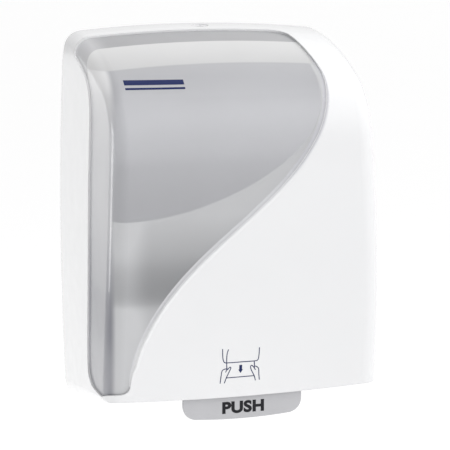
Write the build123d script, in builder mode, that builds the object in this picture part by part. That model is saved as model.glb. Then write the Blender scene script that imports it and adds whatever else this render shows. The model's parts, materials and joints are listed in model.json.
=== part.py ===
from build123d import *

import os
from math import atan2, cos, hypot, pi, radians, sin, sqrt

# Wall-mounted autocut roll towel dispenser. Millimetres, +Z up, the wall is the plane Y = 0 and the
# dispenser stands out from it towards -Y. The origin is the centre of the four wall screw holes.

# ---------------------------------------------------------------- driving dimensions
# cover envelope
CREST_Z = 212.5             # top of the cover at the wall, on the centre line
CROWN_R = 1340.0            # the top and the shoulder are crowned across the width
CROWN_Z = CREST_Z - CROWN_R
CROWN_ARC = 28.0            # degrees that the front profile is turned about the crown axis
BODY_LOW = -300.0           # the form runs down to here before its foot is cut
FRONT_FOOT_Z = -160.0       # bottom edge of the cover at the front
REAR_FOOT_Z = -219.0        # bottom edge of the cover at the wall
FRONT_D = 222.0             # depth at which the front outline is given
FOOT_SAG = 3.8              # the bottom edge bows down at the middle
EDGE_R = 20.0               # rounding between the front and the sides
COVER_T = 3.0               # cover wall
COVER_GAP = 2.0             # cover's rear edge to the wall

# window
WINDOW_STEP = 2.2           # the window lies this far below the cover's surface
WINDOW_T = 2.4
WINDOW_GAP = 0.12           # between the window's edge and the opening
LIP = 6.0                   # bonding lip behind the cover
BOND_GAP = 0.3              # adhesive between the lip and the cover

# cover hinge, low at the wall
HINGE_Y = -12.0
HINGE_Z = -203.5
HINGE_LUG_R = 7.0
PIN_R = 2.5
RUN = 0.05                  # radial running clearance
EAR_X0, EAR_X1 = 112.0, 119.5
LUG_X0, LUG_X1 = 120.5, 129.0
FOOT_OPEN_X = 120.0         # half width of the open bottom

# back plate
PLATE_T = 4.0
PLATE_INSET = 4.6           # from the cover's outside to the plate's edge
PLATE_LIP_D = 14.0
SCREW_PITCH_X = 190.0
SCREW_PITCH_Z = 350.0
WALL_HOLE_R = 2.75
BOSS_R = 9.0
BOSS_H = 4.0

# mechanism side frames
FRAME_X0, FRAME_X1 = 112.0, 115.0
FRAME_FOOT_W = 16.0
DRUM_Y, DRUM_Z = -112.0, -92.0
DRUM_R, DRUM_WALL = 36.0, 3.0
DRUM_HALF = 103.0
CAP_T = 3.0
SHAFT_R = 5.0
BUSH_R = 8.0
SLOT_DIR = 172.0            # degrees in the YZ plane, 0 = towards the wall, 90 = up
PINCH_DIR = -53.13
PINCH_R, PINCH_SHAFT_R = 9.0, 4.0
PAPER_GAP = 0.25

# gears between the lever and the drum's one-way pinion
MODULE = 2.0
SECTOR_TEETH, PINION_TEETH = 35, 18
GEAR_X0, GEAR_X1 = 118.0, 124.0
GEAR_DISTANCE = MODULE * (SECTOR_TEETH + PINION_TEETH) / 2
GEAR_DIR = atan2(-26.0, -46.0)  # from the drum's axis to the lever's axis
LEVER_Y = DRUM_Y + GEAR_DISTANCE * cos(GEAR_DIR)
LEVER_Z = DRUM_Z + GEAR_DISTANCE * sin(GEAR_DIR)
LEVER_SHAFT_R = 3.0
TAB_HALF = 64.0
TAB_Y = -201.0
TAB_T = 3.0

# roll holder
ARM_X0, ARM_X1 = 109.0, 113.0
ROLL_Y, ROLL_Z = -110.0, 82.0
HUB_R = 18.0
HUB_PIN_R = 3.0
ARM_HINGE_Y = -15.0

# lock
LOCK_Y = -24.0
LOCK_R = 6.0
LOCK_FLANGE_R = 8.5
LOCK_SEAT_Z = 209.0
CAM_Z = 176.0

# small screws into the back plate
FIXING_R = 2.0
FRAME_FIXINGS = ((-104.0, -137.0), (-104.0, -60.0), (104.0, -137.0), (104.0, -60.0))
ARM_FIXINGS = ((-121.0, 67.0), (-121.0, 97.0), (128.0, 67.0), (128.0, 97.0))
KEEPER_FIXINGS = ((40.0, 164.0), (40.0, 184.0))
FIXING_POINTS = FRAME_FIXINGS + ARM_FIXINGS + KEEPER_FIXINGS


# ---------------------------------------------------------------- shared shapes
def cover_form(inset):
    """The outside of the cover, moved inwards by inset: a crowned front profile between tapering sides."""
    tilt = radians(CROWN_ARC / 2)
    profile_plane = Plane(
        origin=(0, 0, CROWN_Z), x_dir=(0, 1, 0), z_dir=(cos(tilt), 0, sin(tilt))
    )
    with BuildPart() as form:
        with BuildSketch(profile_plane):
            with BuildLine():
                foot = (-167.0 + inset, -320.0 - CROWN_Z)
                belly = (-221.0 + inset, -10.0 - CROWN_Z)
                neck = (-216.0 + inset, 108.0 - CROWN_Z)
                brow = (-165.0 + 0.37 * inset, 176.5 - 0.93 * inset - CROWN_Z)
                front = ThreePointArc(foot, belly, neck)
                shoulder = TangentArc(neck, brow, tangent=front % 1)
                roof = TangentArc(brow, (10.0, CREST_Z - inset - CROWN_Z), tangent=shoulder % 1)
                floor = BODY_LOW - 60.0 - CROWN_Z
                Polyline(roof @ 1, (10.0, floor), (foot[0], floor), foot)
            make_face()
        revolve(axis=Axis((0, 0, CROWN_Z), (0, 1, 0)), revolution_arc=CROWN_ARC)
        # depth, half widths at the foot, the middle, the temple and above the roof
        for depth, at_foot, at_middle, at_temple, above in (
            (0.0, 153.5, 156.2, 151.0, 138.0),
            (FRONT_D, 148.0, 142.5, 133.0, 118.0),
        ):
            with BuildSketch(Plane.XZ.offset(depth)):
                with BuildLine():
                    side = ThreePointArc(
                        (at_foot - inset, -215.0), (at_middle - inset, -5.0), (at_temple - inset, 165.0)
                    )
                    lean = TangentArc(side @ 1, (above - inset, 222.0), tangent=side % 1)
                    Polyline(side @ 0, (at_foot - inset, BODY_LOW), (0, BODY_LOW))
                    Polyline(lean @ 1, (above - inset, 260.0), (0, 260.0))
                    mirror(about=Plane.YZ)
                make_face()
        loft(ruled=True, mode=Mode.INTERSECT)
        corner = form.edges().filter_by(GeomType.BSPLINE)
        corner = [
            e for e in corner
            if e.center().Y < -10 and e.center().Z > BODY_LOW + 10 and abs(e.center().X) > 100 and e.length > 5
            and abs(e.center().Z - 165.0) > 1 and abs(e.center().Z + 215.0) > 1
        ]
        fillet(corner, EDGE_R - inset)
    return form.part


def foot_cutter(inset, corner_r=(25.0, 8.0)):
    """Everything below the cover's slanting, bowed bottom edge, with its rounded corners."""
    with BuildPart() as cutter:
        for depth, half, low, radius in (
            (-1.0, 153.5, REAR_FOOT_Z, corner_r[0]),
            (FRONT_D + 8.0, 147.6, FRONT_FOOT_Z + 6.5, corner_r[1]),
        ):
            low = low + inset
            half = half - inset
            radius = max(radius - inset, 2.0)
            with BuildSketch(Plane.XZ.offset(depth)):
                with BuildLine():
                    bend = (half - radius * (1 - sin(pi / 4)), low + FOOT_SAG + radius * (1 - cos(pi / 4)))
                    bottom_end = (half - radius, low + FOOT_SAG)
                    side_end = (half + 0.4, low + FOOT_SAG + radius)
                    ThreePointArc(side_end, bend, bottom_end)
                    ThreePointArc(bottom_end, (0, low), (-bottom_end[0], bottom_end[1]))
                    ThreePointArc((-bottom_end[0], bottom_end[1]), (-bend[0], bend[1]), (-side_end[0], side_end[1]))
                    Polyline(
                        (-side_end[0], side_end[1]), (-260, side_end[1]), (-260, -400), (260, -400),
                        (260, side_end[1]), side_end,
                    )
                make_face()
        loft(ruled=True)
    return cutter.part


def window_region(grow):
    """The window's outline, seen from the front, the side and above, larger all round by grow."""
    with BuildPart() as region:
        with BuildSketch(Plane.XZ):
            with BuildLine():
                upper = Spline(
                    (84 + grow, 240), (92 + grow, 172), (81 + 0.9 * grow, 126 - 0.4 * grow),
                    (41 + 0.7 * grow, 67 - 0.7 * grow), (-46 + 0.7 * grow, -10 - 0.7 * grow),
                    (-96 + 0.8 * grow, -69 - 0.6 * grow), (-107 + 0.9 * grow, -89.5 - 0.4 * grow),
                    (-113.5 + grow, -106 - 0.3 * grow), (-117.6 + grow, -121), (-121 + grow, -138),
                    tangents=((0.1, -1), (-0.1, -1)),
                )
                ThreePointArc(
                    upper @ 1, (-123.5 + 0.8 * grow, -144.5 - 0.6 * grow), (-130 + 0.2 * grow, -147 - grow)
                )
                Polyline(
                    (-130 + 0.2 * grow, -147 - grow), (-131, -154 - grow), (-220, -154 - grow), (-220, 240), upper @ 0,
                )
            make_face()
        extrude(amount=260)
        with BuildSketch(Plane.YZ.offset(-220)):
            with BuildLine():
                rear = Spline(
                    (-130.5 + grow, -134), (-132.5 + grow, -66), (-132 + grow, -5), (-129 + grow, 60),
                    (-127 + grow, 110), (-124.5 + grow, 133), (-116.5 + 0.8 * grow, 151 - 0.6 * grow),
                    (-102 + 0.5 * grow, 164 - 0.9 * grow), (-84 + 0.35 * grow, 172 - grow),
                    (-66 + 0.3 * grow, 178 - grow), (-49 + grow, 182.5 - grow),
                    tangents=((0, 1), (1, 0.25)),
                )
                Polyline(
                    rear @ 1, (-47 + grow, 187 - grow), (-47 + grow, 260), (-300, 260), (-300, -147 - grow),
                    (-214, -147 - grow),
                )
                Spline(
                    (-214, -147 - grow), (-196, -151.2 - grow), (-172, -153.4 - grow), (-150, -152.8 - grow),
                    (-136 + 0.7 * grow, -146.5 - 0.7 * grow), rear @ 0,
                    tangents=((1, 0), (0, 1)),
                )
            make_face()
        extrude(amount=340, mode=Mode.INTERSECT)
        with BuildSketch(Plane.XY.offset(-220)) as plan:
            with BuildLine():
                Polyline(
                    (-230, -47 + grow), (87 + grow, -47 + grow), (94 + grow, -125), (94 + grow, -300),
                    (-230, -300), close=True,
                )
            make_face()
            fillet(plan.vertices().sort_by(Axis.X)[-3:].sort_by(Axis.Y)[-1:], 22 + grow)
        extrude(amount=500, mode=Mode.INTERSECT)
    return region.part


def cylinder_x(radius, x0, x1, y, z):
    """A plain bar along X."""
    with BuildPart() as bar:
        with BuildSketch(Plane.YZ.offset(x0)):
            with Locations((y, z)):
                Circle(radius)
        extrude(amount=x1 - x0)
    return bar.part


def gear_outline(teeth, module, tooth_at_angle, first, last):
    """Involute teeth on a round blank, centred on the origin, with generous backlash."""
    pitch_r = module * teeth / 2
    base_r = pitch_r * cos(radians(20))
    tip_r = pitch_r + 0.85 * module
    root_r = pitch_r - 1.15 * module

    def roll(radius):
        turn = sqrt(max((radius / base_r) ** 2 - 1, 0))
        return turn - atan2(turn, 1)

    half_pitch = pi / (2 * teeth) - 0.14 / pitch_r
    radii = [max(base_r, root_r), pitch_r - 0.4 * module, pitch_r + 0.2 * module, tip_r]
    with BuildSketch() as outline:
        Circle(root_r)
        for n in range(first, last):
            middle = tooth_at_angle + 2 * pi * n / teeth
            left = []
            right = []
            for radius in radii:
                half = half_pitch + roll(pitch_r) - roll(radius)
                left.append((radius * cos(middle + half), radius * sin(middle + half)))
                right.append((radius * cos(middle - half), radius * sin(middle - half)))
            inner = 0.8 * root_r
            half = half_pitch + roll(pitch_r) - roll(radii[0])
            with BuildLine():
                Spline(*left)
                Line(left[-1], right[-1])
                Spline(*right)
                Polyline(
                    left[0],
                    (inner * cos(middle + half), inner * sin(middle + half)),
                    (inner * cos(middle - half), inner * sin(middle - half)),
                    right[0],
                )
            make_face()
    return outline.sketch


def coil(radius, wire, pitch, turns, start, direction):
    """A round wire spring that begins at start."""
    with BuildPart() as spring:
        with BuildLine():
            path = Helix(
                pitch=pitch, height=pitch * turns, radius=radius, center=tuple(start), direction=tuple(direction)
            )
        with BuildSketch(Plane(origin=path @ 0, z_dir=path % 0)):
            Circle(wire)
        sweep(path=path, is_frenet=True)
    return spring.part


def save(piece, name):
    piece.label = name
    export_step(piece, "parts/" + name + ".step")


os.makedirs("parts", exist_ok=True)

# ---------------------------------------------------------------- cover and window
with BuildPart() as front_cover:
    add(cover_form(0))
    add(foot_cutter(0), mode=Mode.SUBTRACT)
    with BuildPart(mode=Mode.PRIVATE) as cavity:
        add(cover_form(COVER_T))
        add(foot_cutter(COVER_T), mode=Mode.SUBTRACT)
    add(cavity.part, mode=Mode.SUBTRACT)
    add(window_region(0), mode=Mode.SUBTRACT)
    # open bottom for the paper and the lever
    with BuildSketch(Plane.XY.offset(-240)):
        with Locations((0, -101)):
            Rectangle(2 * FOOT_OPEN_X, 205)
    extrude(amount=90, mode=Mode.SUBTRACT)
    # set back from the wall
    with BuildSketch(Plane.XZ.offset(COVER_GAP)):
        Rectangle(400, 600)
    extrude(amount=-20, mode=Mode.SUBTRACT)
    # the lower rear corner is rounded about the hinge
    with BuildSketch(Plane.YZ.offset(-180)):
        with Locations((HINGE_Y + 15, HINGE_Z - 15)):
            Rectangle(30, 30)
        with Locations((HINGE_Y, HINGE_Z)):
            Circle(10.0, mode=Mode.SUBTRACT)
    extrude(amount=360, mode=Mode.SUBTRACT)
    # hinge lugs
    for side in (-1, 1):
        with BuildSketch(Plane.YZ.offset(side * LUG_X0)):
            with Locations((HINGE_Y, HINGE_Z)):
                Circle(HINGE_LUG_R)
        extrude(amount=side * (LUG_X1 - LUG_X0))
    with BuildSketch(Plane.YZ.offset(-LUG_X1)):
        with Locations((HINGE_Y, HINGE_Z)):
            Circle(PIN_R)
    extrude(amount=2 * LUG_X1, mode=Mode.SUBTRACT)
    # lock opening in the roof
    with BuildSketch(Plane.XY.offset(195)):
        with Locations((0, LOCK_Y)):
            Circle(LOCK_R + 0.1)
    extrude(amount=30, mode=Mode.SUBTRACT)
    with BuildSketch(Plane.XY.offset(LOCK_SEAT_Z - 0.1)):
        with Locations((0, LOCK_Y)):
            Circle(LOCK_FLANGE_R + 0.3)
    extrude(amount=10, mode=Mode.SUBTRACT)
save(front_cover.part, "front_cover")

with BuildPart() as window:
    add(cover_form(WINDOW_STEP))
    add(window_region(-WINDOW_GAP), mode=Mode.INTERSECT)
    with BuildPart(mode=Mode.PRIVATE) as bonding_lip:
        add(cover_form(COVER_T + BOND_GAP))
        add(window_region(LIP), mode=Mode.INTERSECT)
        add(foot_cutter(COVER_T + 0.6), mode=Mode.SUBTRACT)
    add(bonding_lip.part)
    add(cover_form(WINDOW_STEP + WINDOW_T), mode=Mode.SUBTRACT)
    with BuildSketch(Plane.XZ.offset(COVER_GAP)):
        Rectangle(400, 600)
    extrude(amount=-20, mode=Mode.SUBTRACT)
save(window.part, "window")

for side, name in ((-1, "left"), (1, "right")):
    low, high = (EAR_X0 - 2.0, LUG_X1) if side > 0 else (-LUG_X1, 2.0 - EAR_X0)
    save(cylinder_x(PIN_R, low, high, HINGE_Y, HINGE_Z), "hinge_pin_" + name)

# ---------------------------------------------------------------- back plate
with BuildPart() as back_plate:
    add(cover_form(PLATE_INSET))
    with BuildSketch(Plane.XZ.offset(PLATE_LIP_D)):
        Rectangle(400, 700)
    extrude(amount=300, mode=Mode.SUBTRACT)
    with BuildPart(mode=Mode.PRIVATE) as tray:
        add(cover_form(PLATE_INSET + 2.0))
        with BuildSketch(Plane.XZ.offset(-5)):
            Rectangle(400, 700)
        extrude(amount=PLATE_T + 5, mode=Mode.SUBTRACT)
    add(tray.part, mode=Mode.SUBTRACT)
    # lower end: short corners, so the cover can swing
    with BuildSketch(Plane.XZ.offset(-1)):
        with BuildLine():
            Polyline(
                (-200, -190), (-EAR_X1, -190), (-EAR_X1, -212), (EAR_X1, -212), (EAR_X1, -190),
                (200, -190), (200, -400), (-200, -400), close=True,
            )
        make_face()
    extrude(amount=40, mode=Mode.SUBTRACT)
    # stiffening ribs
    for x in (-60, -20, 20, 60):
        with BuildSketch(Plane.XZ.offset(PLATE_T)):
            with Locations((x, -40)):
                Rectangle(2.0, 300)
        extrude(amount=2.0)
    # bosses for the wall screws
    with BuildSketch(Plane.XZ.offset(PLATE_T)):
        with GridLocations(SCREW_PITCH_X, SCREW_PITCH_Z, 2, 2):
            Circle(BOSS_R)
    extrude(amount=BOSS_H)
    # ears for the cover hinge
    for side in (-1, 1):
        with BuildSketch(Plane.YZ.offset(side * EAR_X0)):
            with BuildLine():
                Polyline((0, -190), (-PLATE_T, -190), (HINGE_Y - 4, HINGE_Z + 5), (HINGE_Y, HINGE_Z - 5), (0, -212), close=True)
            make_face()
            with Locations((HINGE_Y, HINGE_Z)):
                Circle(6.3)
        extrude(amount=side * (EAR_X1 - EAR_X0))
    with BuildSketch(Plane.YZ.offset(-150)):
        with Locations((HINGE_Y, HINGE_Z)):
            Circle(PIN_R + RUN)
    extrude(amount=300, mode=Mode.SUBTRACT)
    with BuildSketch(Plane.XZ.offset(-1)):
        with GridLocations(SCREW_PITCH_X, SCREW_PITCH_Z, 2, 2):
            Circle(WALL_HOLE_R)
        # screw holes for the frames, the arms and the keeper
        for x, z in FIXING_POINTS:
            with Locations((x, z)):
                Circle(FIXING_R)
    extrude(amount=40, mode=Mode.SUBTRACT)
save(back_plate.part, "back_plate")


def fixing_screws(points, head_y):
    """Pan-head screws along Y with a cross recess, their heads standing on the plane Y = -head_y."""
    with BuildPart() as screws:
        with BuildSketch(Plane.XZ.offset(0.5)):
            with Locations(points):
                Circle(FIXING_R)
        extrude(amount=head_y - 0.5)
        with BuildSketch(Plane.XZ.offset(head_y)):
            with Locations(points):
                Circle(3.6)
        extrude(amount=2.2)
        fillet(screws.faces().sort_by(Axis.Y).first.edges(), 0.8)
        with BuildSketch(Plane.XZ.offset(head_y + 1.0)):
            with Locations(points):
                Rectangle(3.8, 0.9)
                Rectangle(0.9, 3.8)
        extrude(amount=3.0, mode=Mode.SUBTRACT)
    return screws.part


# ---------------------------------------------------------------- mechanism side frames
def side_frame(side):
    with BuildPart() as frame:
        with BuildSketch(Plane.YZ.offset(side * FRAME_X0)):
            with BuildLine():
                Polyline(
                    (-PLATE_T, -50), (-60, -50), (-92, -46), (-132, -46), (-172, -100), (-172, -128),
                    (-128, -146), (-PLATE_T, -148), close=True,
                )
            make_face()
        extrude(amount=side * (FRAME_X1 - FRAME_X0))
        with BuildSketch(Plane.XZ.offset(PLATE_T)):
            with Locations((side * (FRAME_X0 - FRAME_FOOT_W / 2 + 0.5), -98.5)):
                Rectangle(FRAME_FOOT_W + 1.0, 93)
        extrude(amount=3.0)
        with BuildSketch(Plane.YZ.offset(side * 90)):
            with Locations((DRUM_Y, DRUM_Z)):
                Circle(BUSH_R)
            with Locations((LEVER_Y, LEVER_Z)):
                Circle(LEVER_SHAFT_R + RUN)
        extrude(amount=side * 40, mode=Mode.SUBTRACT)
        with BuildSketch(Plane.XZ.offset(0)):
            with Locations([p for p in FRAME_FIXINGS if p[0] * side > 0]):
                Circle(FIXING_R + RUN)
        extrude(amount=20, mode=Mode.SUBTRACT)
    return frame.part


for side, name in ((-1, "left"), (1, "right")):
    save(side_frame(side), "frame_" + name)
save(fixing_screws(FRAME_FIXINGS, PLATE_T + 3.0), "frame_screws")


# ---------------------------------------------------------------- paper guides
def curved_guide(start, end):
    """A strip bent round the drum from one angle to another."""
    inner, outer = DRUM_R + 7.0, DRUM_R + 9.5
    with BuildPart() as guide:
        with BuildSketch(Plane.YZ.offset(-FRAME_X0)):
            with BuildLine():
                centre = Vector(DRUM_Y, DRUM_Z)
                arc_in = CenterArc(centre, inner, start, end - start)
                arc_out = CenterArc(centre, outer, start, end - start)
                Line(arc_in @ 0, arc_out @ 0)
                Line(arc_in @ 1, arc_out @ 1)
            make_face()
        extrude(amount=2 * FRAME_X0)
    return guide.part


save(curved_guide(-28, 104), "rear_guide")
save(curved_guide(203, 286), "front_guide")


# ---------------------------------------------------------------- drum and knife
SLOT_COS, SLOT_SIN = cos(radians(SLOT_DIR)), sin(radians(SLOT_DIR))
KNIFE_U, KNIFE_V = 8.0, -20.0   # knife pivot, along and across the slot's direction
KNIFE_PIN_R = 2.0
KNIFE_HALF = 96.0
CRANK_U, CRANK_V = 11.0, -10.0  # cam roller, in the same directions


def at_drum(u, v):
    """A point given along and across the slot's direction, as (y, z)."""
    return (DRUM_Y + u * SLOT_COS - v * SLOT_SIN, DRUM_Z + u * SLOT_SIN + v * SLOT_COS)


with BuildPart() as drum:
    with BuildSketch(Plane.YZ.offset(CAP_T - DRUM_HALF)):
        with Locations((DRUM_Y, DRUM_Z)):
            Circle(DRUM_R)
            Circle(DRUM_R - DRUM_WALL, mode=Mode.SUBTRACT)
    extrude(amount=2 * (DRUM_HALF - CAP_T))
    with BuildSketch(Plane.YZ.offset(-KNIFE_HALF - 1)):
        with BuildLine():
            Polyline(at_drum(12, -14), at_drum(38, -34), at_drum(50, -10), at_drum(38, 7), at_drum(20, 3), close=True)
        make_face()
    extrude(amount=2 * (KNIFE_HALF + 1), mode=Mode.SUBTRACT)
    # grip ribs that run along the drum
    with BuildSketch(Plane.YZ.offset(CAP_T - DRUM_HALF)):
        for n in range(12):
            turn = radians(SLOT_DIR + 40 + 22 * n)
            with Locations((DRUM_Y + (DRUM_R - 0.4) * cos(turn), DRUM_Z + (DRUM_R - 0.4) * sin(turn))):
                Circle(0.8)
    extrude(amount=2 * (DRUM_HALF - CAP_T), mode=Mode.SUBTRACT)
save(drum.part, "drum")

for side, name in ((-1, "left"), (1, "right")):
    with BuildPart() as drum_cap:
        with BuildSketch(Plane.YZ.offset(side * (DRUM_HALF - CAP_T))):
            with Locations((DRUM_Y, DRUM_Z)):
                Circle(DRUM_R)
        extrude(amount=side * CAP_T)
        with BuildSketch(Plane.YZ.offset(side * (DRUM_HALF - CAP_T))):
            with Locations((DRUM_Y, DRUM_Z)):
                Circle(DRUM_R - DRUM_WALL)
                Circle(DRUM_R - DRUM_WALL - 3.0, mode=Mode.SUBTRACT)
                Circle(9.0)
        extrude(amount=-side * 2.0)
        with BuildSketch(Plane.YZ.offset(-150)):
            with Locations((DRUM_Y, DRUM_Z)):
                Circle(SHAFT_R)
            with Locations(at_drum(KNIFE_U, KNIFE_V)):
                Circle(KNIFE_PIN_R + RUN)
        extrude(amount=300, mode=Mode.SUBTRACT)
    save(drum_cap.part, "drum_cap_" + name)

save(cylinder_x(SHAFT_R, -119.0, 136.0, DRUM_Y, DRUM_Z), "drum_shaft")

for side, name in ((-1, "left"), (1, "right")):
    with BuildPart() as bush:
        with BuildSketch(Plane.YZ.offset(side * FRAME_X0)):
            with Locations((DRUM_Y, DRUM_Z)):
                Circle(BUSH_R)
        extrude(amount=side * (FRAME_X1 - FRAME_X0))
        with BuildSketch(Plane.YZ.offset(side * FRAME_X1)):
            with Locations((DRUM_Y, DRUM_Z)):
                Circle(11.0)
        extrude(amount=side * 2.0)
        with BuildSketch(Plane.YZ.offset(-150)):
            with Locations((DRUM_Y, DRUM_Z)):
                Circle(SHAFT_R + RUN)
        extrude(amount=300, mode=Mode.SUBTRACT)
    save(bush.part, "drum_bush_" + name)

# the knife carrier swings on its pin inside the drum; the blade leans 45 degrees to the slot
with BuildPart() as knife_carrier:
    with BuildSketch(Plane.YZ.offset(-KNIFE_HALF)):
        with BuildLine():
            Polyline(at_drum(7, -17), at_drum(11, -21), at_drum(25, -7), at_drum(21, -3), close=True)
        make_face()
        with Locations(at_drum(KNIFE_U, KNIFE_V)):
            Circle(4.0)
            Circle(KNIFE_PIN_R, mode=Mode.SUBTRACT)
    extrude(amount=2 * KNIFE_HALF)
save(knife_carrier.part, "knife_carrier")

blade_foot = at_drum(17.1, -6.9)
blade_plane = Plane(
    origin=(0, blade_foot[0], blade_foot[1]),
    x_dir=(1, 0, 0),
    z_dir=(0, cos(radians(SLOT_DIR + 135)), sin(radians(SLOT_DIR + 135))),
)
BLADE_TEETH = 48
BLADE_REACH = 13.0
with BuildPart() as knife_blade:
    with BuildSketch(blade_plane):
        pitch = 2 * (KNIFE_HALF - 2) / BLADE_TEETH
        toward_edge = -1 if blade_plane.y_dir.dot(Vector(0, SLOT_COS - SLOT_SIN, SLOT_SIN + SLOT_COS)) < 0 else 1
        points = [(2 - KNIFE_HALF, 0)]
        for n in range(BLADE_TEETH):
            x = 2 - KNIFE_HALF + n * pitch
            points.append((x, toward_edge * (BLADE_REACH - 2.2)))
            points.append((x + pitch / 2, toward_edge * BLADE_REACH))
        points.append((KNIFE_HALF - 2, toward_edge * (BLADE_REACH - 2.2)))
        points.append((KNIFE_HALF - 2, 0))
        with BuildLine():
            Polyline(*points, close=True)
        make_face()
    extrude(amount=0.8)
save(knife_blade.part, "knife_blade")

pivot_y, pivot_z = at_drum(KNIFE_U, KNIFE_V)
save(cylinder_x(KNIFE_PIN_R, -107.0, 104.5, pivot_y, pivot_z), "knife_pivot")

with BuildPart() as knife_crank:
    with BuildSketch(Plane.YZ.offset(-106.8)):
        with BuildLine():
            Polyline(
                at_drum(KNIFE_U - 2.5, KNIFE_V + 1), at_drum(KNIFE_U + 2.5, KNIFE_V - 1),
                at_drum(CRANK_U + 2.2, CRANK_V - 0.6), at_drum(CRANK_U - 2.2, CRANK_V + 0.6), close=True,
            )
        make_face()
        with Locations(at_drum(KNIFE_U, KNIFE_V)):
            Circle(4.0)
            Circle(KNIFE_PIN_R, mode=Mode.SUBTRACT)
        with Locations(at_drum(CRANK_U, CRANK_V)):
            Circle(2.4)
    extrude(amount=2.8)
    with BuildSketch(Plane.YZ.offset(-110.5)):
        with Locations(at_drum(CRANK_U, CRANK_V)):
            Circle(1.2)
    extrude(amount=4.0)
save(knife_crank.part, "knife_crank")

with BuildPart() as cam_roller:
    with BuildSketch(Plane.YZ.offset(-110.4)):
        with Locations(at_drum(CRANK_U, CRANK_V)):
            Circle(3.0)
            Circle(1.2 + RUN, mode=Mode.SUBTRACT)
    extrude(amount=3.4)
save(cam_roller.part, "cam_roller")

# fixed ring that the roller runs round, so the knife cannot fall in towards the shaft
RING_R = hypot(CRANK_U, CRANK_V) - 3.0 - 0.1
with BuildPart() as knife_cam:
    with BuildSketch(Plane.YZ.offset(-FRAME_X0)):
        with Locations((DRUM_Y, DRUM_Z)):
            Circle(RING_R)
            Circle(SHAFT_R + 1.0, mode=Mode.SUBTRACT)
    extrude(amount=3.2)
save(knife_cam.part, "knife_cam")

with BuildPart() as feed_wheel:
    with BuildSketch(Plane.YZ.offset(126)):
        with Locations((DRUM_Y, DRUM_Z)):
            Circle(22.0)
        for n in range(20):
            turn = 2 * pi * n / 20
            with Locations((DRUM_Y + 22.6 * cos(turn), DRUM_Z + 22.6 * sin(turn))):
                Circle(2.0, mode=Mode.SUBTRACT)
        with Locations((DRUM_Y, DRUM_Z)):
            Circle(SHAFT_R, mode=Mode.SUBTRACT)
    extrude(amount=8.0)
    with BuildSketch(Plane.YZ.offset(129)):
        with Locations((DRUM_Y, DRUM_Z)):
            Circle(17.5)
            Circle(8.5, mode=Mode.SUBTRACT)
    extrude(amount=6.0, mode=Mode.SUBTRACT)
save(feed_wheel.part, "feed_wheel")

# ---------------------------------------------------------------- pinch roller
PINCH_DISTANCE = DRUM_R + PAPER_GAP + PINCH_R
PINCH_Y = DRUM_Y + PINCH_DISTANCE * cos(radians(PINCH_DIR))
PINCH_Z = DRUM_Z + PINCH_DISTANCE * sin(radians(PINCH_DIR))
save(cylinder_x(PINCH_SHAFT_R, -111.5, 111.5, PINCH_Y, PINCH_Z), "pinch_shaft")
for n, middle in enumerate((-66.0, 0.0, 66.0)):
    with BuildPart() as sleeve:
        with BuildSketch(Plane.YZ.offset(middle - 24)):
            with Locations((PINCH_Y, PINCH_Z)):
                Circle(PINCH_R)
                Circle(PINCH_SHAFT_R, mode=Mode.SUBTRACT)
        extrude(amount=48)
    save(sleeve.part, "pinch_sleeve_" + str(n + 1))
for side, name in ((-1, "left"), (1, "right")):
    with BuildPart() as pinch_block:
        with BuildSketch(Plane.YZ.offset(side * 106)):
            with Locations((PINCH_Y, PINCH_Z)):
                RectangleRounded(15, 15, 3)
                Circle(PINCH_SHAFT_R + RUN, mode=Mode.SUBTRACT)
        extrude(amount=side * (FRAME_X0 - 106))
    save(pinch_block.part, "pinch_block_" + name)

# ---------------------------------------------------------------- push lever and its gears
with BuildPart() as push_lever:
    with BuildSketch(Plane.XZ.offset(-TAB_Y - TAB_T)) as tab:
        with BuildLine():
            lower = ThreePointArc((-TAB_HALF, -182.5), (0, -186.0), (TAB_HALF, -182.5))
            Polyline(lower @ 1, (TAB_HALF, -150.0), (-TAB_HALF, -150.0), lower @ 0)
        make_face()
        fillet(tab.vertices().sort_by(Axis.Y)[:2], 15.0)
    extrude(amount=TAB_T)
    front_face = push_lever.faces().sort_by(Axis.Y).first
    fillet(front_face.edges(), 1.0)
    with BuildSketch(Plane.YZ.offset(-58)):
        with BuildLine():
            Polyline(
                (TAB_Y + TAB_T, -165), (TAB_Y + TAB_T - 1.5, -150), (TAB_Y + TAB_T - 1.5, -145.5),
                (LEVER_Y - 4, LEVER_Z + 5), (LEVER_Y + 2, LEVER_Z - 6), (TAB_Y + TAB_T + 1.5, -149),
                (TAB_Y + TAB_T + 1.5, -165), close=True,
            )
        make_face()
        with Locations((LEVER_Y, LEVER_Z)):
            Circle(6.5)
            Circle(LEVER_SHAFT_R, mode=Mode.SUBTRACT)
    extrude(amount=116)
save(push_lever.part, "push_lever")

save(cylinder_x(LEVER_SHAFT_R, -117.0, 125.0, LEVER_Y, LEVER_Z), "lever_shaft")

with BuildPart() as lever_sector:
    gear_plane = Plane(origin=(GEAR_X0, LEVER_Y, LEVER_Z), x_dir=(0, 1, 0), z_dir=(1, 0, 0))
    with BuildSketch(gear_plane):
        add(gear_outline(SECTOR_TEETH, MODULE, GEAR_DIR + pi, -4, 5))
        facing = GEAR_DIR + pi
        with BuildLine():
            reach = 60.0
            Polyline(
                (0, 0), (reach * cos(facing - 0.75), reach * sin(facing - 0.75)),
                (reach * cos(facing + 0.75), reach * sin(facing + 0.75)), close=True,
            )
        make_face(mode=Mode.INTERSECT)
        Circle(9.0)
        Circle(LEVER_SHAFT_R, mode=Mode.SUBTRACT)
    extrude(amount=GEAR_X1 - GEAR_X0)
save(lever_sector.part, "lever_sector")

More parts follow.
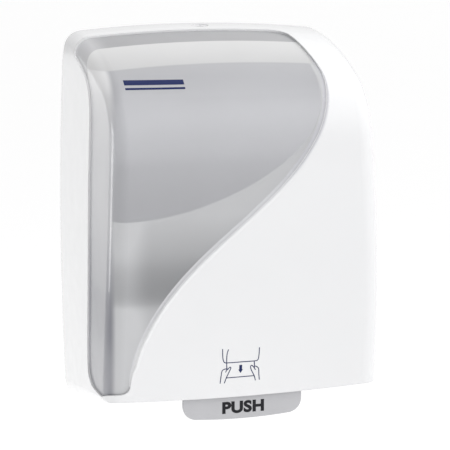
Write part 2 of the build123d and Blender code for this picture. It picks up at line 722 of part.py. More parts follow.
with BuildPart() as drive_pinion:
    with BuildSketch(Plane(origin=(GEAR_X0, DRUM_Y, DRUM_Z), x_dir=(0, 1, 0), z_dir=(1, 0, 0))):
        add(gear_outline(PINION_TEETH, MODULE, GEAR_DIR + pi / PINION_TEETH, 0, PINION_TEETH))
        Circle(SHAFT_R + RUN, mode=Mode.SUBTRACT)
    extrude(amount=GEAR_X1 - GEAR_X0)
save(drive_pinion.part, "drive_pinion")

save(coil(5.4, 0.7, 2.2, 7, (66, LEVER_Y, LEVER_Z), (1, 0, 0)), "lever_spring")


# ---------------------------------------------------------------- roll holder
def arm_profile():
    """The arm seen from the side: a tapering blade with a round end at the hub."""
    Polyline((-18, 62), (-18, 102), (ROLL_Y + 4, ROLL_Z + 15.5), (ROLL_Y + 4, ROLL_Z - 15.5), close=True)


with BuildPart() as arm_left:
    with BuildSketch(Plane.YZ.offset(-ARM_X1)):
        with BuildLine():
            arm_profile()
        make_face()
        with Locations((-11.5, ROLL_Z)):
            Rectangle(15, 40)
        with Locations((ROLL_Y, ROLL_Z)):
            Circle(16)
            Circle(HUB_PIN_R, mode=Mode.SUBTRACT)
    extrude(amount=ARM_X1 - ARM_X0)
    with BuildSketch(Plane.XZ.offset(PLATE_T)):
        with Locations((-119.0, ROLL_Z)):
            Rectangle(20, 44)
        with Locations([p for p in ARM_FIXINGS if p[0] < 0]):
            Circle(FIXING_R + RUN, mode=Mode.SUBTRACT)
    extrude(amount=3.0)
save(arm_left.part, "arm_left")

ARM_PIN_X = 118.0
with BuildPart() as arm_bracket:
    with BuildSketch(Plane.XZ.offset(PLATE_T)):
        with Locations((122.5, ROLL_Z)):
            Rectangle(21, 46)
        with Locations([p for p in ARM_FIXINGS if p[0] > 0]):
            Circle(FIXING_R + RUN, mode=Mode.SUBTRACT)
    extrude(amount=3.0)
    for z in (ROLL_Z - 23, ROLL_Z + 19):
        with BuildSketch(Plane.XY.offset(z)):
            with Locations((ARM_PIN_X, -10)):
                Rectangle(10, 8)
            with Locations((ARM_PIN_X, ARM_HINGE_Y)):
                Circle(5)
                Circle(PIN_R, mode=Mode.SUBTRACT)
        extrude(amount=4)
save(arm_bracket.part, "arm_bracket")

with BuildPart() as arm_pin:
    with BuildSketch(Plane.XY.offset(ROLL_Z - 23.5)):
        with Locations((ARM_PIN_X, ARM_HINGE_Y)):
            Circle(PIN_R)
    extrude(amount=47)
save(arm_pin.part, "arm_pin")

with BuildPart() as arm_right:
    with BuildSketch(Plane.YZ.offset(ARM_X0)):
        with BuildLine():
            arm_profile()
        make_face()
        with Locations((ROLL_Y, ROLL_Z)):
            Circle(16)
            Circle(HUB_PIN_R, mode=Mode.SUBTRACT)
    extrude(amount=ARM_X1 - ARM_X0)
    for z in (ROLL_Z - 18.6, ROLL_Z + 7.6):
        with BuildSketch(Plane.XY.offset(z)):
            with Locations((ARM_PIN_X, ARM_HINGE_Y)):
                Circle(4.6)
            with Locations((ARM_PIN_X - 4.5, ARM_HINGE_Y - 1.5)):
                Rectangle(9, 6)
            with Locations((ARM_PIN_X, ARM_HINGE_Y)):
                Circle(PIN_R + RUN, mode=Mode.SUBTRACT)
        extrude(amount=11)
save(arm_right.part, "arm_right")

save(coil(3.9, 0.6, 1.9, 6, (ARM_PIN_X, ARM_HINGE_Y, ROLL_Z - 6.2), (0, 0, 1)), "arm_spring")
save(fixing_screws(ARM_FIXINGS, PLATE_T + 3.0), "arm_screws")

for side, name in ((-1, "left"), (1, "right")):
    inner = side * ARM_X0
    with BuildPart() as hub:
        with BuildSketch(Plane.XY.offset(ROLL_Z)):
            with BuildLine():
                Polyline(
                    (inner - side * 0.4, ROLL_Y + HUB_PIN_R + RUN), (inner - side * 0.4, ROLL_Y + 24),
                    (inner - side * 2.6, ROLL_Y + 24), (inner - side * 3.4, ROLL_Y + HUB_R + 0.6),
                    (inner - side * 12.0, ROLL_Y + HUB_R), (inner - side * 16.0, ROLL_Y + HUB_R - 4),
                    (inner - side * 16.0, ROLL_Y + HUB_PIN_R + RUN), close=True,
                )
            make_face()
        revolve(axis=Axis((0, ROLL_Y, ROLL_Z), (1, 0, 0)))
        with BuildSketch(Plane.YZ.offset(inner - side * 16.0)):
            with Locations((ROLL_Y, ROLL_Z)):
                Circle(12.0)
                Circle(7.0, mode=Mode.SUBTRACT)
        extrude(amount=side * 11.0, mode=Mode.SUBTRACT)
    save(hub.part, "hub_" + name)
    with BuildPart() as hub_pin:
        with BuildSketch(Plane.YZ.offset(side * ARM_X1)):
            with Locations((ROLL_Y, ROLL_Z)):
                Circle(HUB_PIN_R)
        extrude(amount=-side * (ARM_X1 - ARM_X0 + 16.4))
        with BuildSketch(Plane.YZ.offset(inner - side * 16.4)):
            with Locations((ROLL_Y, ROLL_Z)):
                Circle(5.0)
        extrude(amount=-side * 1.6)
    save(hub_pin.part, "hub_pin_" + name)

# ---------------------------------------------------------------- lock
with BuildPart() as lock_housing:
    with BuildSketch(Plane.XY.offset(186)):
        with Locations((0, LOCK_Y - 1)):
            RectangleRounded(30, 19, 3)
    extrude(amount=40)
    add(cover_form(COVER_T + 0.04), mode=Mode.INTERSECT)
    with BuildSketch(Plane.XY.offset(180)):
        with Locations((0, LOCK_Y)):
            Circle(LOCK_R + RUN)
    extrude(amount=60, mode=Mode.SUBTRACT)
save(lock_housing.part, "lock_housing")

with BuildPart() as lock_barrel:
    with BuildSketch(Plane.XY.offset(CAM_Z + 2.5)):
        with Locations((0, LOCK_Y)):
            Circle(LOCK_R)
    extrude(amount=LOCK_SEAT_Z - CAM_Z - 2.5)
    with BuildSketch(Plane.XY.offset(LOCK_SEAT_Z)):
        with Locations((0, LOCK_Y)):
            Circle(LOCK_FLANGE_R)
    extrude(amount=1.4)
    with BuildSketch(Plane.XY.offset(206)):
        with Locations((0, LOCK_Y)):
            RectangleRounded(1.6, 7.5, 0.5)
    extrude(amount=20, mode=Mode.SUBTRACT)
save(lock_barrel.part, "lock_barrel")

with BuildPart() as lock_cam:
    with BuildSketch(Plane.XY.offset(CAM_Z)):
        with Locations((0, LOCK_Y)):
            Circle(7.0)
        with Locations((0, LOCK_Y + 9)):
            Rectangle(10, 18)
        with Locations((0, LOCK_Y)):
            Circle(1.5, mode=Mode.SUBTRACT)
    extrude(amount=2.5)
save(lock_cam.part, "lock_cam")

with BuildPart() as keeper:
    with BuildSketch(Plane.XZ.offset(PLATE_T)):
        with Locations((36.0, 174.0)):
            Rectangle(20, 30)
        with Locations(KEEPER_FIXINGS):
            Circle(FIXING_R + RUN, mode=Mode.SUBTRACT)
    extrude(amount=2.5)
    with BuildSketch(Plane.XY.offset(169)):
        with BuildLine():
            Polyline((26, -PLATE_T), (29, -PLATE_T), (29, -33), (9, -33), (9, -30.5), (26, -30.5), close=True)
        make_face()
    extrude(amount=14)
save(keeper.part, "keeper")
save(fixing_screws(KEEPER_FIXINGS, PLATE_T + 2.5), "keeper_screws")
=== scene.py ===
import json
from math import cos, pi, radians, sin

import bpy
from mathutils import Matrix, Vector
from mathutils.bvhtree import BVHTree


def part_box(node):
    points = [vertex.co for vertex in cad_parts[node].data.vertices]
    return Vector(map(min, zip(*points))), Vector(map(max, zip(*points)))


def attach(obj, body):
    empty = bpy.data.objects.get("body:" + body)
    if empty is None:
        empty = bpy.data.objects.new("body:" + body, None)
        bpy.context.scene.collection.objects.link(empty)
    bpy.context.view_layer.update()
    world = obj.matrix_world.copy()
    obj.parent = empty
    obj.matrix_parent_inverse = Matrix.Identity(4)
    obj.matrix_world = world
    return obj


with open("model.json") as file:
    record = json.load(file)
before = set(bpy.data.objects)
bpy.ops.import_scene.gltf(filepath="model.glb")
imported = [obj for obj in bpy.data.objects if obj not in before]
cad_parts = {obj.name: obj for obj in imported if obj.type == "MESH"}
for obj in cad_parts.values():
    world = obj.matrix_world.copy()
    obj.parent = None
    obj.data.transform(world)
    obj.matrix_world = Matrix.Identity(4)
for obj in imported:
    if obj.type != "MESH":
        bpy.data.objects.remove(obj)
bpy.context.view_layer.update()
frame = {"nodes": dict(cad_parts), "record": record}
nodes = frame["nodes"]
scene = bpy.context.scene

WHITE = (0.875, 0.877, 0.888)       # the glossy cover
NAVY = (0.012, 0.022, 0.10)
BLACK = (0.016, 0.016, 0.020)


# ---------------------------------------------------------------- materials
class Shader:
    """A principled material whose colour, roughness and surface come from procedural patterns."""

    def __init__(self, name, base, roughness, metallic=0.0, **inputs):
        self.material = bpy.data.materials.new(name)
        self.material.use_nodes = True
        self.tree = self.material.node_tree
        self.bsdf = self.tree.nodes["Principled BSDF"]
        self.bsdf.inputs["Base Color"].default_value = (*base, 1)
        self.bsdf.inputs["Roughness"].default_value = roughness
        self.bsdf.inputs["Metallic"].default_value = metallic
        self.base = base
        self.roughness = roughness
        for key, value in inputs.items():
            self.bsdf.inputs[key.replace("_", " ")].default_value = value
        self.place = self.new("ShaderNodeNewGeometry").outputs["Position"]

    def new(self, kind, **settings):
        node = self.tree.nodes.new(kind)
        for key, value in settings.items():
            setattr(node, key, value)
        return node

    def link(self, a, b):
        self.tree.links.new(a, b)

    def math(self, operation, a, b):
        node = self.new("ShaderNodeMath", operation=operation)
        for socket, value in zip(node.inputs, (a, b)):
            if isinstance(value, (int, float)):
                socket.default_value = value
            else:
                self.link(value, socket)
        return node.outputs[0]

    def noise(self, scale, detail=4.0, stretch=(1, 1, 1)):
        mapping = self.new("ShaderNodeMapping")
        mapping.inputs["Scale"].default_value = stretch
        self.link(self.place, mapping.inputs["Vector"])
        node = self.new("ShaderNodeTexNoise")
        node.inputs["Scale"].default_value = scale
        node.inputs["Detail"].default_value = detail
        self.link(mapping.outputs[0], node.inputs["Vector"])
        return node.outputs["Fac"]

    def spread(self, value, low, high):
        node = self.new("ShaderNodeMapRange")
        node.inputs["From Min"].default_value = 0.3
        node.inputs["From Max"].default_value = 0.7
        node.inputs["To Min"].default_value = low
        node.inputs["To Max"].default_value = high
        self.link(value, node.inputs["Value"])
        return node.outputs["Result"]

    def mix(self, under, mask, over, blend_type="MIX"):
        """Colour under where mask is 0, over where it is 1; each colour is plain or a node's output."""
        node = self.new("ShaderNodeMix", data_type="RGBA", blend_type=blend_type)
        for socket, value in ((node.inputs[0], mask), (node.inputs[6], under), (node.inputs[7], over)):
            if isinstance(value, tuple):
                socket.default_value = (*value, 1)
            elif isinstance(value, float):
                socket.default_value = value
            else:
                self.link(value, socket)
        return node.outputs[2]

    def vary_colour(self, pattern, amount, tint=(1, 1, 1)):
        darker = tuple(c * (1 - amount) * t for c, t in zip(self.base, tint))
        lighter = tuple(min(1, c * (1 + amount)) for c in self.base)
        colour = self.mix(darker, self.spread(pattern, 0.0, 1.0), lighter)
        self.link(colour, self.bsdf.inputs["Base Color"])

    def vary_roughness(self, pattern, amount):
        self.link(
            self.spread(pattern, max(0.02, self.roughness - amount), self.roughness + amount),
            self.bsdf.inputs["Roughness"],
        )

    def bump(self, patterns, edge=0.0):
        """Each pattern is (value, height in metres); edge softens the sharp edges by that radius."""
        normal = None
        if edge:
            soft = self.new("ShaderNodeBevel", samples=4)
            soft.inputs["Radius"].default_value = edge
            normal = soft.outputs[0]
        for pattern, height in patterns:
            node = self.new("ShaderNodeBump")
            node.inputs["Strength"].default_value = 1.0
            node.inputs["Distance"].default_value = height
            self.link(pattern, node.inputs["Height"])
            if normal is not None:
                self.link(normal, node.inputs["Normal"])
            normal = node.outputs[0]
        self.link(normal, self.bsdf.inputs["Normal"])


def moulded(name, base, roughness, grain=2600.0, depth=0.000010, edge=0.0004):
    """Injection-moulded plastic: slow tone drift, worn gloss and a fine moulded grain."""
    s = Shader(name, base, roughness)
    s.vary_colour(s.noise(14.0), 0.025)
    s.vary_roughness(s.noise(60.0, 6.0), 0.06)
    s.bump([(s.noise(9.0, 2.0), 0.00006), (s.noise(grain, 2.0), depth)], edge)
    return s.material


def brushed(name, base, roughness, along=(0.02, 1, 1)):
    """Metal with fine lines along one direction, and faint handling marks."""
    s = Shader(name, base, roughness, metallic=1.0)
    s.vary_colour(s.noise(40.0, 5.0), 0.06)
    lines = s.noise(2400.0, 3.0, along)
    s.vary_roughness(lines, 0.10)
    s.bump([(lines, 0.000012)], 0.0002)
    return s.material


def white_gloss():
    s = Shader("white_cover", WHITE, 0.22, Coat_Weight=0.6, Coat_Roughness=0.05)
    s.vary_colour(s.noise(7.0), 0.008)
    s.vary_roughness(s.noise(45.0, 6.0), 0.04)
    s.bump([(s.noise(5.0, 1.0), 0.00010), (s.noise(420.0, 2.0), 0.0000016)], 0.0020)
    return s.material


def zinc():
    s = Shader("zinc_steel", (0.62, 0.63, 0.64), 0.38, metallic=1.0)
    cells = s.new("ShaderNodeTexVoronoi")
    cells.inputs["Scale"].default_value = 260.0
    s.link(s.place, cells.inputs["Vector"])
    s.vary_colour(cells.outputs["Distance"], 0.10, (1.0, 0.99, 0.95))
    s.vary_roughness(s.noise(90.0), 0.08)
    s.bump([(s.noise(1500.0), 0.00001)], 0.0002)
    return s.material


def rubber():
    s = Shader("roller_rubber", (0.030, 0.030, 0.032), 0.72)
    s.vary_colour(s.noise(120.0), 0.35)
    rings = s.new("ShaderNodeTexWave", bands_direction="X")
    rings.inputs["Scale"].default_value = 140.0
    s.link(s.place, rings.inputs["Vector"])
    s.bump([(rings.outputs["Fac"], 0.00010), (s.noise(1800.0), 0.00002)])
    return s.material


CRISP = 0.0016          # width of the sharper changes of tone on the window, metres
BROW_Z = 0.1800         # height of the brow on the centre line
CROWN_BOW = 0.373       # the brow falls by this times x squared


def smoked_with_painted_light():
    """Translucent grey, in zones set by the place on the window.

    It is frosted above a sweeping arc and clearer below it, with a darker border behind. The shoulder is
    painted light and sheen from above, the left wall is painted light, paler at the top, and a dark band
    below the arc is painted shade. A line's start and length are metres, and its shape is in fractions of
    length and span.
    Its low and span are metres where it gives a place, and run from 0 to 1 where it gives a tone.
    """
    s = Shader("smoke_window", (0.60, 0.61, 0.645), 0.33, IOR=1.45, Coat_Weight=0.7, Coat_Roughness=0.05)
    split = s.new("ShaderNodeSeparateXYZ")
    s.link(s.place, split.inputs[0])
    x, y, z = split.outputs["X"], split.outputs["Y"], split.outputs["Z"]

    def line(value, start, length, low, span, shape):
        """low to low + span, as value runs from start over length, smoothly through shape's points."""
        node = s.new("ShaderNodeFloatCurve")
        curve = node.mapping.curves[0]
        curve.points[0].location = shape[0]
        curve.points[1].location = shape[-1]
        for point in shape[1:-1]:
            curve.points.new(*point)
        node.mapping.update()
        fraction = s.math("DIVIDE", s.math("SUBTRACT", value, start), length)
        fraction.node.use_clamp = True
        s.link(fraction, node.inputs["Value"])
        return s.math("ADD", s.math("MULTIPLY", node.outputs[0], span), low)

    def beyond(value, edge, soft):
        """0 below edge, 1 above it, with a transition of that width."""
        node = s.new("ShaderNodeMapRange", interpolation_type="SMOOTHSTEP")
        node.inputs["From Min"].default_value = -soft / 2
        node.inputs["From Max"].default_value = soft / 2
        s.link(s.math("SUBTRACT", value, edge), node.inputs["Value"])
        return node.outputs[0]

    left = s.math("MULTIPLY", x, -1.0)
    depth = s.math("MULTIPLY", y, -1.0)
    arc = line(x, start=-0.140, length=0.24, low=0.0165, span=0.150, shape=(
        (0.0, 0.10), (0.13, 0.10), (0.30, 0.14), (0.45, 0.21), (0.585, 0.30), (0.71, 0.415),
        (0.79, 0.51), (0.862, 0.635), (0.90, 0.74), (0.93, 0.87), (0.94, 1.0)))
    frosted = beyond(z, arc, CRISP)
    # the frosting is palest in a broad belt across the front
    belt = line(z, start=0.0, length=0.21, low=0.0, span=1.0, shape=(
        (0.0, 0.05), (0.2, 0.15), (0.38, 0.45), (0.57, 1.0), (0.72, 0.5), (0.80, 0.2), (1.0, 0.2)))
    frost = s.mix((0.53, 0.533, 0.56), belt, (0.74, 0.745, 0.775))
    # below the arc the shell clouds and clears by turns, and is palest down its left front corner; its
    # darkest band is painted shade, the shadow under the roll seen through the shell
    cloud_and_roll_shadow = line(z, start=-0.155, length=0.19, low=0.0, span=1.0, shape=(
        (0.0, 0.75), (0.18, 0.8), (0.34, 0.85), (0.49, 0.72), (0.60, 0.14), (0.66, 0.18), (0.81, 0.58),
        (1.0, 0.9)))
    column = beyond(left, 0.112, 0.028)
    cloud_and_roll_shadow = s.math("MINIMUM", s.math("ADD", cloud_and_roll_shadow, s.math("MULTIPLY", column, 0.4)), 1.0)
    clear = s.mix((0.33, 0.335, 0.35), cloud_and_roll_shadow, (0.64, 0.645, 0.66))
    colour = s.mix(clear, frosted, frost)
    # the left wall of the shell, whose front corner draws in towards the top; its tone is painted light and
    # shade, paler than the front as if lit from the left, palest at the top and darker downwards
    wall_edge = line(z, start=0.090, length=0.080, low=0.1375, span=-0.0095, shape=((0.0, 0.0), (1.0, 1.0)))
    wall = beyond(left, wall_edge, 0.006)
    wall_light_and_shade = line(z, start=-0.155, length=0.345, low=0.0, span=1.0, shape=(
        (0.0, 0.14), (0.1, 0.14), (0.25, 0.0), (0.36, 0.14), (0.56, 0.44), (0.77, 0.56), (0.88, 0.78),
        (0.94, 1.0), (1.0, 1.0)))
    colour = s.mix(colour, wall, s.mix((0.24, 0.243, 0.28), wall_light_and_shade, (0.95, 0.95, 0.96)))
    # the shoulder above the brow is painted pale, a painted highlight and sheen of the light from above,
    # palest at the back and painted darker where it turns forward; the border behind it is darker
    crown = s.math("ADD", z, s.math("MULTIPLY", s.math("MULTIPLY", x, x), CROWN_BOW))
    painted_shoulder_light = beyond(crown, BROW_Z, CRISP)
    shoulder_shading = line(depth, start=0.085, length=0.07, low=0.0, span=1.0, shape=(
        (0.0, 0.0), (0.3, 0.35), (1.0, 1.0)))
    colour = s.mix(colour, painted_shoulder_light, s.mix((0.93, 0.93, 0.93), shoulder_shading, (0.74, 0.74, 0.745)))
    back_line = line(z, start=0.140, length=0.075, low=0.085, span=0.035, shape=(
        (0.0, 0.9), (0.30, 0.62), (0.40, 0.50), (0.49, 0.35), (0.56, 0.26), (0.70, 0.15), (0.85, 0.14),
        (1.0, 0.14)))
    border = s.math("SUBTRACT", 1.0, beyond(depth, back_line, 0.0014))
    corner = beyond(left, 0.122, 0.020)
    colour = s.mix(colour, border, s.mix((0.44, 0.44, 0.462), corner, (0.67, 0.67, 0.69)))
    drift = s.spread(s.noise(10.0), 0.975, 1.02)
    s.link(s.mix(colour, 1.0, drift, "MULTIPLY"), s.bsdf.inputs["Base Color"])
    # how much light each zone lets through
    solid = s.math("MAXIMUM", s.math("MAXIMUM", painted_shoulder_light, border), wall)
    see = s.new("ShaderNodeMapRange")
    s.link(s.math("SUBTRACT", 0.40, s.math("MULTIPLY", cloud_and_roll_shadow, 0.28)), see.inputs["To Min"])
    see.inputs["To Max"].default_value = 0.33
    s.link(s.math("MAXIMUM", frosted, solid), see.inputs["Value"])
    opaque = s.math("SUBTRACT", 1.0, s.math("MULTIPLY", wall, 0.5))
    s.link(s.math("MULTIPLY", see.outputs[0], opaque), s.bsdf.inputs["Transmission Weight"])
    s.vary_roughness(s.noise(30.0, 2.0), 0.03)
    s.bump([(s.noise(6.0, 1.0), 0.00008), (s.noise(900.0, 2.0), 0.000003)])
    return s.material


def rolled_edge():
    """The cover's white beside the window, with painted shade: greyer where it rolls down to it, by a tone
    on the mesh.
    """
    s = Shader("cover_edge", WHITE, 0.25, Coat_Weight=0.5, Coat_Roughness=0.06)
    tone = s.new("ShaderNodeAttribute", attribute_name="edge_painted_shade")
    drift = s.math("ADD", tone.outputs["Fac"], s.spread(s.noise(30.0), -0.03, 0.03))
    s.link(s.mix((0.60, 0.60, 0.635), drift, WHITE), s.bsdf.inputs["Base Color"])
    s.vary_roughness(s.noise(45.0, 6.0), 0.04)
    s.bump([(s.noise(420.0, 2.0), 0.0000016)])
    return s.material


def printed(name, colour):
    s = Shader(name, colour, 0.42, Specular_IOR_Level=0.2)
    s.vary_colour(s.noise(500.0), 0.10)
    s.bump([(s.noise(3000.0), 0.000004)])
    return s.material


finishes = {
    "white_cover": white_gloss(),
    "smoke_window": smoked_with_painted_light(),
    "white_base": moulded("white_base", (0.80, 0.80, 0.81), 0.48),
    "grey_lever": moulded("grey_lever", (0.56, 0.56, 0.58), 0.42, edge=0.0008),
    "light_grey_mech": moulded("light_grey_mech", (0.55, 0.56, 0.58), 0.50),
    "dark_grey_mech": moulded("dark_grey_mech", (0.07, 0.073, 0.08), 0.45),
    "natural_acetal": moulded("natural_acetal", (0.78, 0.78, 0.73), 0.38, 1800.0, 0.000006),
    "hub_grey": moulded("hub_grey", (0.30, 0.31, 0.34), 0.45),
    "roller_rubber": rubber(),
    "bright_steel": brushed("bright_steel", (0.62, 0.63, 0.65), 0.26),
    "spring_steel": brushed("spring_steel", (0.40, 0.41, 0.43), 0.32, (1, 0.1, 1)),
    "blade_steel": brushed("blade_steel", (0.70, 0.71, 0.73), 0.24, (1, 0.05, 0.05)),
    "zinc_steel": zinc(),
}
for part in frame["record"]["subparts"]:
    piece = nodes[part["node"]]
    piece.data.materials.clear()
    piece.data.materials.append(finishes[part["material_slot"]])

navy_ink = printed("navy_ink", NAVY)
black_ink = printed("black_ink", BLACK)
# the rolled edge's white is painted grey where it rolls down to the window, a painted shade
edge_shaded_white = rolled_edge()


# ---------------------------------------------------------------- printing on the cover and the window
IN_FRONT = -0.4             # y of a place in the room, well in front of the cover
TO_WALL = Vector((0, 1, 0))
INK_LIFT = 0.00008          # print stands this far off the surface
INK_STEP = 0.0006           # size of the print's facets


def add_mesh(name, verts, faces, material):
    mesh = bpy.data.meshes.new(name)
    mesh.from_pydata(verts, [], faces)
    mesh.materials.append(material)
    obj = bpy.data.objects.new(name, mesh)
    scene.collection.objects.link(obj)
    return obj


def surface(name):
    mesh = nodes[name].data
    return BVHTree.FromPolygons([v.co for v in mesh.vertices], [p.vertices for p in mesh.polygons])


surfaces = {name: surface(name) for name in ("front_cover", "window")}


def first_hit(name, x, z):
    """Where a line from the room to the wall first meets a cover node, and that surface's normal."""
    place, normal, _, _ = surfaces[name].ray_cast(Vector((x, IN_FRONT, z)), TO_WALL)
    return place, normal


def on_front(name, x, z, lift):
    """The point of a cover node's front surface at x, z, raised by lift."""
    hit, normal = first_hit(name, x, z)
    if normal.y > 0:
        normal = -normal
    return hit + normal * lift


def smooth_path(points, step):
    """Points along a smooth line through points, about step apart."""
    last = len(points) - 1
    result = []
    for n in range(last):
        p = [Vector(points[min(max(n + k, 0), last)]) for k in (-1, 0, 1, 2)]
        pieces = max(1, round((p[2] - p[1]).length / step))
        for k in range(pieces):
            t = k / pieces
            result.append(
                0.5 * (2 * p[1] + (p[2] - p[0]) * t + (2 * p[0] - 5 * p[1] + 4 * p[2] - p[3]) * t * t
                       + (3 * p[1] - p[0] - 3 * p[2] + p[3]) * t ** 3)
            )
    result.append(Vector(points[-1]))
    return result


def direction_at(path, n):
    """The unit direction of a path at its point n."""
    return (path[min(n + 1, len(path) - 1)] - path[max(n - 1, 0)]).normalized()


def ink_lines(name, node, body, centre, strokes, width, material, fills=()):
    """Printed lines through strokes, and filled outlines, in millimetres from centre."""
    verts = []
    faces = []
    for points in strokes:
        path = smooth_path([(a / 1000, b / 1000) for a, b in points], INK_STEP)
        first = len(verts)
        columns = 1 + max(1, round(width / INK_STEP))
        for n, p in enumerate(path):
            along = direction_at(path, n)
            side = Vector((-along.y, along.x)) * width
            for k in range(columns):
                q = p + side * (0.5 - k / (columns - 1))
                verts.append(on_front(node, centre[0] + q.x, centre[1] + q.y, INK_LIFT))
        for n in range(len(path) - 1):
            a = first + columns * n
            b = a + columns
            faces.extend((a + k, b + k, b + k + 1, a + k + 1) for k in range(columns - 1))
    for points in fills:
        first = len(verts)
        for a, b in points:
            verts.append(on_front(node, centre[0] + a / 1000, centre[1] + b / 1000, INK_LIFT))
        faces.append(tuple(range(first, len(verts))))
    obj = add_mesh(name, verts, faces, material)
    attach(obj, body)


# ---------------------------------------------------------------- the cover's rolled edge beside the window
EDGE_LOW, EDGE_HIGH = -0.140, 0.186      # heights where the rolled edge begins and ends
EDGE_STEP = 0.0025
EDGE_RISE = 0.0006                       # how far it stands proud
EDGE_LIFT = 0.00003                      # how far its skirts clear the surface
EDGE_SINK = -0.0003                      # how far its underside is sunk in
# lines of the bead, in millimetres from the window's edge
EDGE_COLUMNS = (-3.2, -2.4, -1.6, -0.8, 0.0, 0.8, 1.6, 2.4, 3.2, 4.2)
# up to the first of these it rests on the window, from the second on it rests on the cover
EDGE_SEATS = (-1.6, 1.6)
SEARCH_X = (-0.128, 0.110)               # the window's edge is looked for between these
SEARCH_STOP = 0.00005


def window_edge(z):
    """x at height z where the window's front gives way to the cover's."""
    inside, outside = SEARCH_X
    while outside - inside > SEARCH_STOP:
        middle = (inside + outside) / 2
        window, _ = first_hit("window", middle, z)
        cover, _ = first_hit("front_cover", middle, z)
        if window is not None and (cover is None or window.y < cover.y):
            inside = middle
        else:
            outside = middle
    return inside


def blend(value, low, high):
    """0 at low, 1 at high, smooth between them."""
    t = min(1.0, max(0.0, (value - low) / (high - low)))
    return t * t * (3 - 2 * t)


def seat(p, side, column, lift):
    """The bead's point over column, at p on the window's edge, raised by lift."""
    q = p + side * column
    return on_front("window" if column < 0 else "front_cover", q.x, q.y, lift)


def rolled_edge_strip(name):
    """A slim closed bead along the window's sweeping edge, foot on the window and head on the cover."""
    steps = round((EDGE_HIGH - EDGE_LOW) / EDGE_STEP)
    heights = [EDGE_LOW + n * EDGE_STEP for n in range(steps + 1)]
    path = smooth_path([(window_edge(z), z) for z in heights], EDGE_STEP)
    first, last = EDGE_COLUMNS[0], EDGE_COLUMNS[-1]
    verts = []
    shade_tones = []
    for n, p in enumerate(path):
        # both ends taper away over about a dozen steps
        taper = blend(n, -2, 12) * blend(len(path) - 1 - n, -2, 16)
        height = EDGE_RISE * taper
        along = direction_at(path, n)
        side = Vector((along.y, -along.x)) / 1000
        side *= 0.25 + 0.75 * taper
        # the grey is painted shade on the roll, and it deepens and reaches further on to the cover as the
        # edge climbs
        middle = -1.6 + 2.8 * blend(p.y, -0.100, -0.040) + 1.6 * blend(p.y, 0.045, 0.090)
        palest = 0.35 - 0.35 * blend(p.y, 0.045, 0.090)
        for column in EDGE_COLUMNS:
            lift = EDGE_LIFT + height * sin(pi * (column - first) / (last - first))
            if EDGE_SEATS[0] < column < EDGE_SEATS[1]:
                on_window, on_cover = (seat(p, side, place, lift) for place in EDGE_SEATS)
                share = (column - EDGE_SEATS[0]) / (EDGE_SEATS[1] - EDGE_SEATS[0])
                verts.append(on_window.lerp(on_cover, share))
            else:
                verts.append(seat(p, side, column, lift))
            shade_tones.append(palest + (1 - palest) * blend(column, middle - 1.5, middle + 1.7))
        for column in (last, first):
            verts.append(seat(p, side, column, EDGE_SINK))
            shade_tones.append(1.0)
    ring = len(EDGE_COLUMNS) + 2
    faces = [
        (a + k, a + (k + 1) % ring, a + ring + (k + 1) % ring, a + ring + k)
        for a in range(0, len(verts) - ring, ring)
        for k in range(ring)
    ]
    faces.append(tuple(range(ring - 1, -1, -1)))
    faces.append(tuple(range(len(verts) - ring, len(verts))))
    strip = add_mesh(name, verts, faces, edge_shaded_white)
    strip.data.polygons.foreach_set("use_smooth", [True] * len(faces))
    strip.data.set_sharp_from_angle(angle=radians(40))
    tone = strip.data.attributes.new("edge_painted_shade", "FLOAT", "POINT")
    tone.data.foreach_set("value", shade_tones)
    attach(strip, "cover")


rolled_edge_strip("cover_rolled_edge")

# ---------------------------------------------------------------- print and lettering
# how to pull the towel: the dispenser's foot, the sheet, two hands and an arrow
ink_lines(
    "pull_pictogram", "front_cover", "cover", (-0.0055, -0.1255),
    [
        [
            (-20, 20), (-19.2, 9), (-17, 4.8), (-12, 4.3), (0, 4.3), (14, 4.3), (17.6, 5), (18.9, 8.5),
            (19.3, 19),
        ],
        [(-13.7, 19), (-15.1, 13), (-15, 1), (-14.6, -2.6), (-16, -6)],
        [(-21.3, -18), (-20.6, -10), (-19.8, -4.6), (-17.8, -2.6), (-14.8, -2.2)],
        [(-14.2, -3.6), (-11.6, -0.6), (-10.5, -1.8), (-12, -5.4), (-15, -12.4), (-16.8, -18)],
        [(14.2, 4.2), (14.8, -1.4), (14.7, -3.4), (16, -5.8)],
        [(14.9, -1.3), (17.6, -2.4), (19.3, -4.8), (19.8, -10.5), (20.6, -17)],
        [(14.7, -3.4), (12.1, -0.5), (10.6, -1.3), (11.4, -5.2), (14.8, -12), (16.4, -17.5)],
        [(-14.8, -12.3), (0, -12.2), (14.6, -12.1)],
    ],
    0.00095, navy_ink,
    [[(-1.5, 1), (1.5, 1), (1.5, -4), (2.5, -4), (0, -8), (-2.5, -4), (-1.5, -4)]],
)

# two plain bars printed high on the window
for name, height, width in (("plain_bar_upper", 1.8, 0.0044), ("plain_bar_lower", -3.6, 0.0018)):
    ink_lines(
        name, "window", "cover", (-0.0865, 0.1625),
        [[(-30, height), (-10, height), (10, height), (30, height)]], width, navy_ink,
    )

# the word printed on the lever's tab
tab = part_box("push_lever")[0]
curve = bpy.data.curves.new("push_word", "FONT")
curve.body = "PUSH"
curve.size = 0.0165
curve.offset = 0.0008
curve.align_x = "CENTER"
curve.align_y = "CENTER"
curve.space_character = 1.06
curve.extrude = 0.00003
word = bpy.data.objects.new("push_word", curve)
word.rotation_euler = (pi / 2, 0, 0)
word.scale = (1.12, 1, 1)
WORD_RISE = 0.0122      # its middle, above the tab's lower edge
WORD_LIFT = 0.00006
word.location = (0.0005, tab.y - WORD_LIFT, tab.z + WORD_RISE)
scene.collection.objects.link(word)
curve.materials.append(black_ink)
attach(word, "lever")

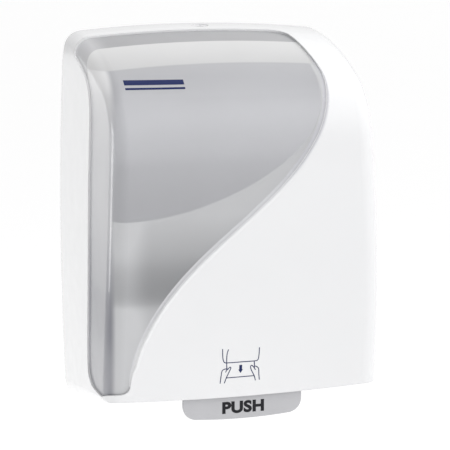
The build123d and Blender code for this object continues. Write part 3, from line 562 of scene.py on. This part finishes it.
# ---------------------------------------------------------------- stage, light and camera
FLOOR_Z = -0.75
FLOOR_HALF = 400        # well past the furthest ground that any view shows
floor_shader = Shader("floor_paint", (0.93, 0.93, 0.93), 0.8)
floor_shader.vary_colour(floor_shader.noise(0.6), 0.004)
floor_shader.bsdf.inputs["Emission Color"].default_value = (1, 1, 1, 1)
floor_shader.bsdf.inputs["Emission Strength"].default_value = 0.28
corners = ((-1, -1), (1, -1), (1, 1), (-1, 1))
floor = add_mesh(
    "floor", [(FLOOR_HALF * a, FLOOR_HALF * b, FLOOR_Z) for a, b in corners], [(0, 1, 2, 3)],
    floor_shader.material,
)

world = bpy.data.worlds.new("studio")
scene.world = world
world.use_nodes = True
# the studio is brighter above and to the right
links = world.node_tree.links
background = world.node_tree.nodes["Background"]
background.inputs["Color"].default_value = (1.0, 1.0, 1.0, 1)
direction = world.node_tree.nodes.new("ShaderNodeTexCoord")
parts = world.node_tree.nodes.new("ShaderNodeSeparateXYZ")
links.new(direction.outputs["Generated"], parts.inputs[0])
strength = None
for axis, low, at_low, at_high in (("X", -1, 0.16, 1.13), ("Z", 0, 0.83, 1.34)):
    ramp = world.node_tree.nodes.new("ShaderNodeMapRange")
    ramp.inputs["From Min"].default_value = low
    ramp.inputs["To Min"].default_value = at_low
    ramp.inputs["To Max"].default_value = at_high
    links.new(parts.outputs[axis], ramp.inputs["Value"])
    if strength is None:
        strength = ramp.outputs[0]
    else:
        product = world.node_tree.nodes.new("ShaderNodeMath")
        product.operation = "MULTIPLY"
        links.new(strength, product.inputs[0])
        links.new(ramp.outputs[0], product.inputs[1])
        strength = product.outputs[0]
links.new(strength, background.inputs["Strength"])


def area_light(name, place, target, size, power, reflected=True):
    """A rectangular light at place facing target; one that is not reflected leaves no bands in the gloss."""
    light = bpy.data.lights.new(name, "AREA")
    light.shape = "RECTANGLE"
    light.size, light.size_y = size
    light.energy = power
    obj = bpy.data.objects.new(name, light)
    obj.location = place
    obj.rotation_euler = (Vector(target) - Vector(place)).to_track_quat("-Z", "Y").to_euler()
    obj.visible_glossy = reflected
    scene.collection.objects.link(obj)


area_light("key", (0.5, -1.8, 1.5), (0, -0.1, 0), (1.4, 1.2), 6, reflected=False)
area_light("top", (0.0, -0.3, 1.6), (0, -0.1, 0), (1.2, 0.8), 8, reflected=False)
area_light("left_strip", (-1.9, 0.51, 0.0), (-0.137, -0.206, 0.05), (0.5, 0.9), 6)

camera_data = bpy.data.cameras.new("camera")
camera_data.lens = 121.2
camera_data.sensor_width = 36.0
camera = bpy.data.objects.new("camera", camera_data)
azimuth, elevation, distance = radians(-15.1), radians(11.0), 1.642
target = Vector((0.0081, -0.100, 0.0))
away = Vector((sin(azimuth) * cos(elevation), -cos(azimuth) * cos(elevation), sin(elevation)))
camera.location = target + away * distance
camera.rotation_euler = (-away).to_track_quat("-Z", "Y").to_euler()
scene.collection.objects.link(camera)
scene.camera = camera

scene.view_settings.view_transform = "Standard"
scene.view_settings.look = "None"
